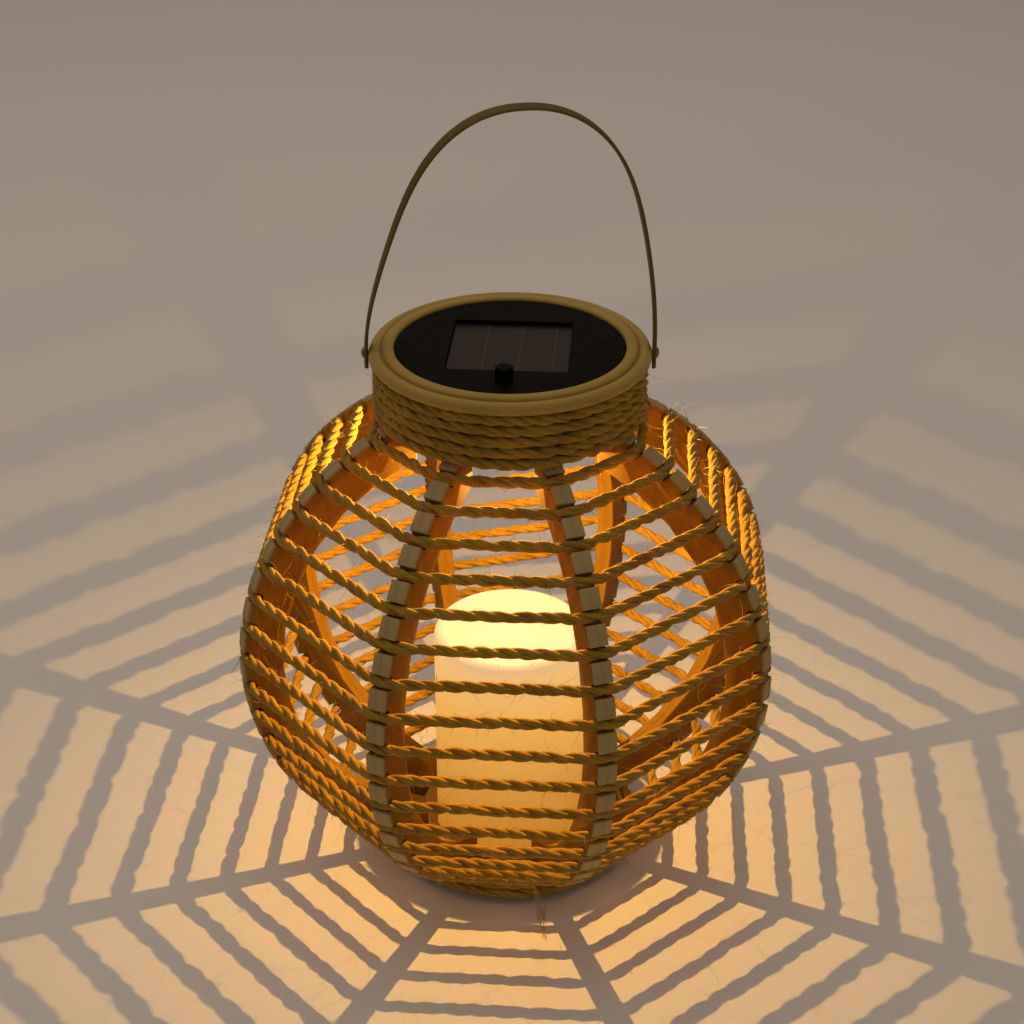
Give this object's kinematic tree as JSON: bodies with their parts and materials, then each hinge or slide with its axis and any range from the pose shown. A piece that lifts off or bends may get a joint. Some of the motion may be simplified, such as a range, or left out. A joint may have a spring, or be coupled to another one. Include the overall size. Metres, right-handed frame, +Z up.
{
  "type": "solar lantern",
  "caption": "Round cord-wound solar lantern with notched ribs, lift-out solar lid, frosted diffuser and swing-up strap handle.",
  "frame": {"origin": "on the table under the middle of the base", "axes": "+Z up through the lid, X along the handle's rivets, the switch faces -Y"},
  "size_m": [0.2492, 0.2492, 0.3727],
  "materials": {
    "jute": "coarse twisted jute cord with loose fibres",
    "rib_plastic": "matte greige moulding with a fine parting line",
    "tan_plastic": "satin tan moulding",
    "frosted_plastic": "frosted translucent, lit warm from above",
    "black_plastic": "fine matte texture",
    "solar_cell": "dark silicon cell in four strips",
    "clear_resin": "clear potting resin",
    "rubber": "matte",
    "circuit_board": "solder mask",
    "lamp_resin": "clear lamp resin, lit warm",
    "battery_sleeve": "shrink sleeve",
    "steel": "plain plated steel",
    "wire_sleeve": "wire insulation",
    "strap_plastic": "satin olive-tan moulding"
  },
  "bodies": {
    "lantern_body": {"cord_turn_01": "jute", "cord_turn_02": "jute", "cord_turn_03": "jute", "cord_turn_04": "jute", "cord_turn_05": "jute", "cord_turn_06": "jute", "cord_turn_07": "jute", "cord_turn_08": "jute", "cord_turn_09": "jute", "cord_turn_10": "jute", "cord_turn_11": "jute", "cord_turn_12": "jute", "cord_turn_13": "jute", "cord_turn_14": "jute", "cord_turn_15": "jute", "cord_turn_16": "jute", "cord_turn_17": "jute", "foot_cord": "jute", "neck_cord": "jute", "rib_1": "rib_plastic", "rib_2": "rib_plastic", "rib_3": "rib_plastic", "rib_4": "rib_plastic", "rib_5": "rib_plastic", "rib_6": "rib_plastic", "rib_7": "rib_plastic", "rib_8": "rib_plastic", "neck_collar": "tan_plastic", "upper_hoop": "tan_plastic", "lower_hoop": "tan_plastic", "base_dish": "tan_plastic", "diffuser_plug": "tan_plastic", "diffuser": "frosted_plastic", "hoop_screw_1": "steel", "hoop_screw_2": "steel", "hoop_screw_3": "steel", "plug_screw": "steel", "rivet_left": "steel", "rivet_right": "steel"},
    "handle": {"handle_strap": "strap_plastic"},
    "solar_module": {"module_cover": "black_plastic", "solar_cells": "solar_cell", "cell_glazing": "clear_resin", "seal_ring": "rubber", "module_housing": "black_plastic", "lamp_board": "circuit_board", "lamp": "lamp_resin", "battery": "battery_sleeve", "contact_negative": "steel", "contact_positive": "steel", "contact_spring": "steel", "charge_board": "circuit_board", "cell_wire_left": "wire_sleeve", "cell_wire_right": "wire_sleeve", "switch_body": "black_plastic"},
    "knob": {"switch_knob": "black_plastic"}
  },
  "joints": [
    {"name": "handle_swing", "type": "hinge", "parent": "lantern_body", "child": "handle", "pos_m": [0, 0, 0.2605], "axis": [1, 0, 0], "range_deg": [-110, 110]},
    {"name": "module_lift", "type": "slide", "parent": "lantern_body", "child": "solar_module", "axis": [0, 0, 1], "range_m": [0, 0.042]},
    {"name": "knob_turn", "type": "hinge", "parent": "solar_module", "child": "knob", "pos_m": [-0.00255, -0.03651, 0.264], "axis": [0, 0, 1], "range_deg": [-40, 40]}
  ]
}
